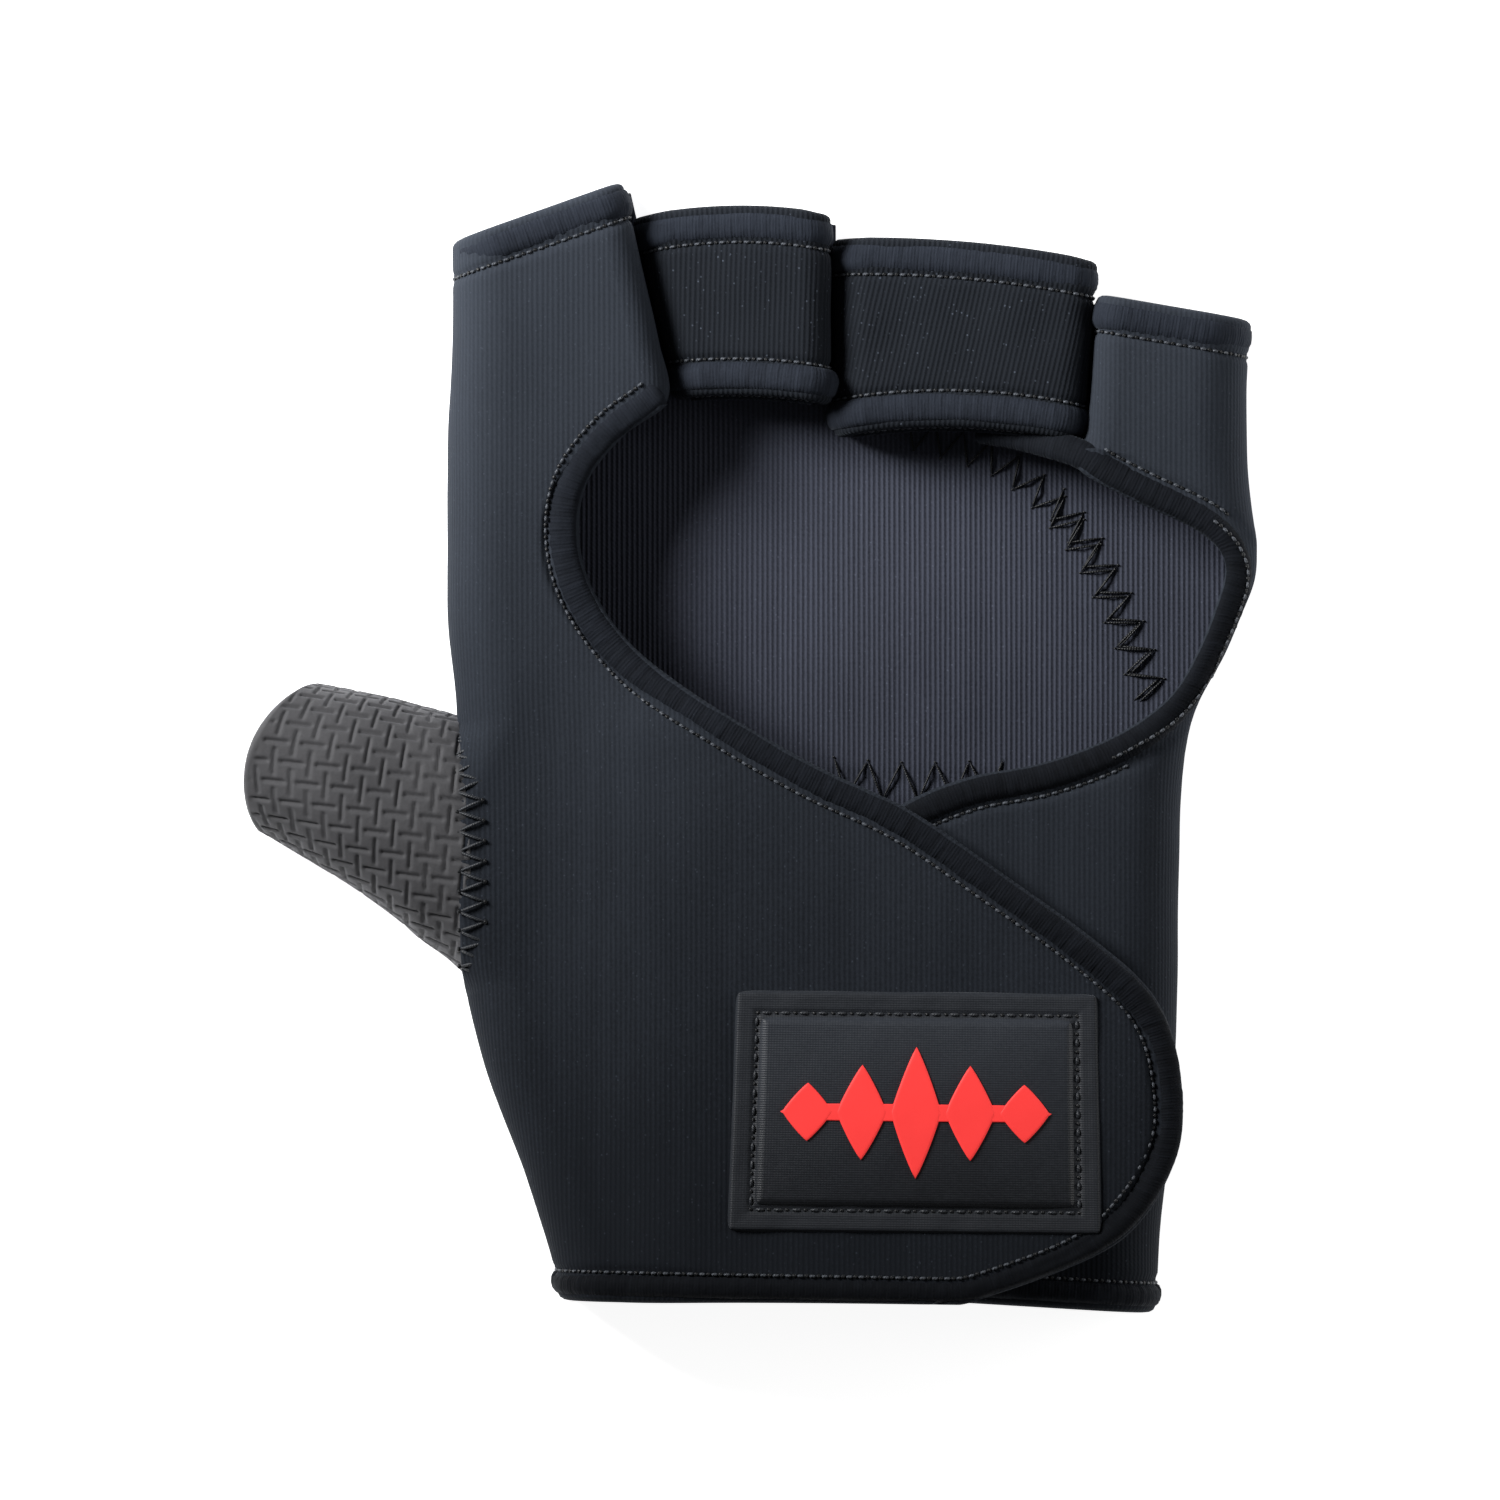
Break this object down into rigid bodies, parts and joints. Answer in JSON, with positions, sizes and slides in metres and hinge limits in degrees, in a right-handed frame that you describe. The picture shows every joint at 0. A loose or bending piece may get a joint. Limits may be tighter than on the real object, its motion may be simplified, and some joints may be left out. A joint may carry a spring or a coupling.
{
  "type": "fitness glove",
  "caption": "Half-finger glove of ribbed neoprene with an open back, a grip palm, an open thumb stall and a wrap-over wrist strap.",
  "frame": {"origin": "centre of the footprint, on the surface that the palm rests on", "axes": "+Z out of the back of the hand, +Y along the fingers, the thumb towards -X"},
  "size_m": [0.1312, 0.1455, 0.0225],
  "materials": {
    "neoprene": "charcoal ribbed jersey over neoprene, matt",
    "binding_tape": "dark folded elastic tape with fine cross creases",
    "grip_palm": "dark grey grip cloth embossed with short dashes set at right angles",
    "hook_tape": "black hook fastener, hidden under the strap",
    "label_cloth": "satin near-black label with a padded middle",
    "label_print": "satin red raised print"
  },
  "bodies": {
    "root": {"back_panel": "neoprene", "little_panel": "neoprene", "middle_band": "neoprene", "ring_band": "neoprene", "index_hem": "binding_tape", "middle_hem": "binding_tape", "ring_hem": "binding_tape", "little_hem": "binding_tape", "middle_band_binding": "binding_tape", "ring_band_binding": "binding_tape", "strap_binding": "binding_tape", "little_binding": "binding_tape", "little_wrist_hem": "binding_tape", "palm_wrist_hem": "binding_tape", "palm_panel": "grip_palm", "thumb_stall": "grip_palm", "hook_pad": "hook_tape", "label_base": "label_cloth", "label_cushion": "label_cloth", "label_motif": "label_print"}
  },
  "joints": []
}
